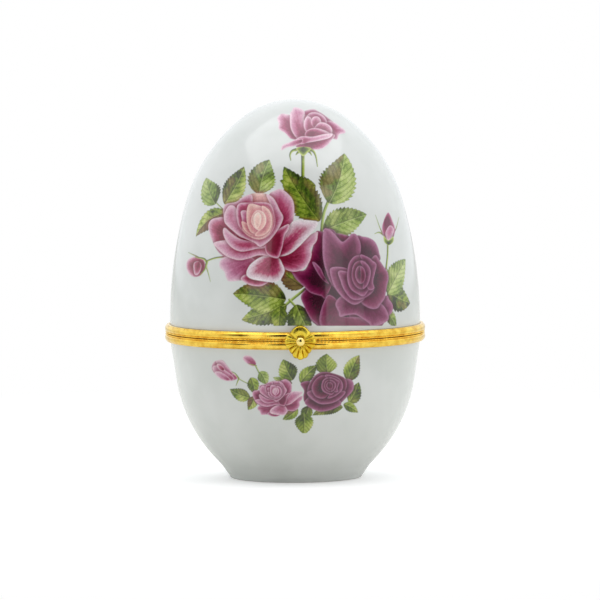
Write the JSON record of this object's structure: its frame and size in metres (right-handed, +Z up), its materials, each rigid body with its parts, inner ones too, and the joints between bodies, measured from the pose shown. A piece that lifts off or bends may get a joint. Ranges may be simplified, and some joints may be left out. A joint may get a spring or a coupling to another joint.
{
  "type": "hinged porcelain trinket box",
  "caption": "Egg-shaped porcelain trinket box that stands on its blunt end, with brass collars on both rims, a rear hinge and a flower-shaped spring clasp.",
  "frame": {"origin": "on the egg's axis, in the plane that the foot stands on", "axes": "+Z up along the egg's axis, -Y towards the clasp at the front, +Y towards the hinge, +X to the right when facing the clasp"},
  "size_m": [0.075, 0.0807, 0.109],
  "materials": {
    "porcelain": "white porcelain under a clear gloss glaze, faintly green-grey, with rose transfers on the front",
    "plaster": "matt off-white bedding plaster",
    "collar_brass": "bright gilt brass with a corded edge",
    "spring_brass": "satin gilt spring brass",
    "pin_brass": "drawn brass wire, gilt"
  },
  "bodies": {
    "base": {"base_shell": "porcelain", "base_cement": "plaster", "base_collar": "collar_brass", "base_hinge_leaf": "collar_brass", "hinge_pin": "pin_brass", "clasp_catch": "collar_brass"},
    "lid": {"lid_shell": "porcelain", "lid_cement": "plaster", "lid_collar": "collar_brass", "lid_hinge_leaf": "collar_brass", "clasp_pad": "collar_brass"},
    "clasp": {"clasp_tongue": "spring_brass", "clasp_flower": "collar_brass", "clasp_rivet": "collar_brass"}
  },
  "joints": [
    {"name": "lid_hinge", "type": "hinge", "parent": "base", "child": "lid", "pos_m": [0, 0.0388, 0.042], "axis": [-1, 0, 0], "range_deg": [0, 95]},
    {"name": "clasp_flex", "type": "hinge", "parent": "lid", "child": "clasp", "pos_m": [0, -0.03785, 0.0439], "axis": [-1, 0, 0], "range_deg": [0, 8], "stiffness_Nm_per_rad": 0.05}
  ]
}
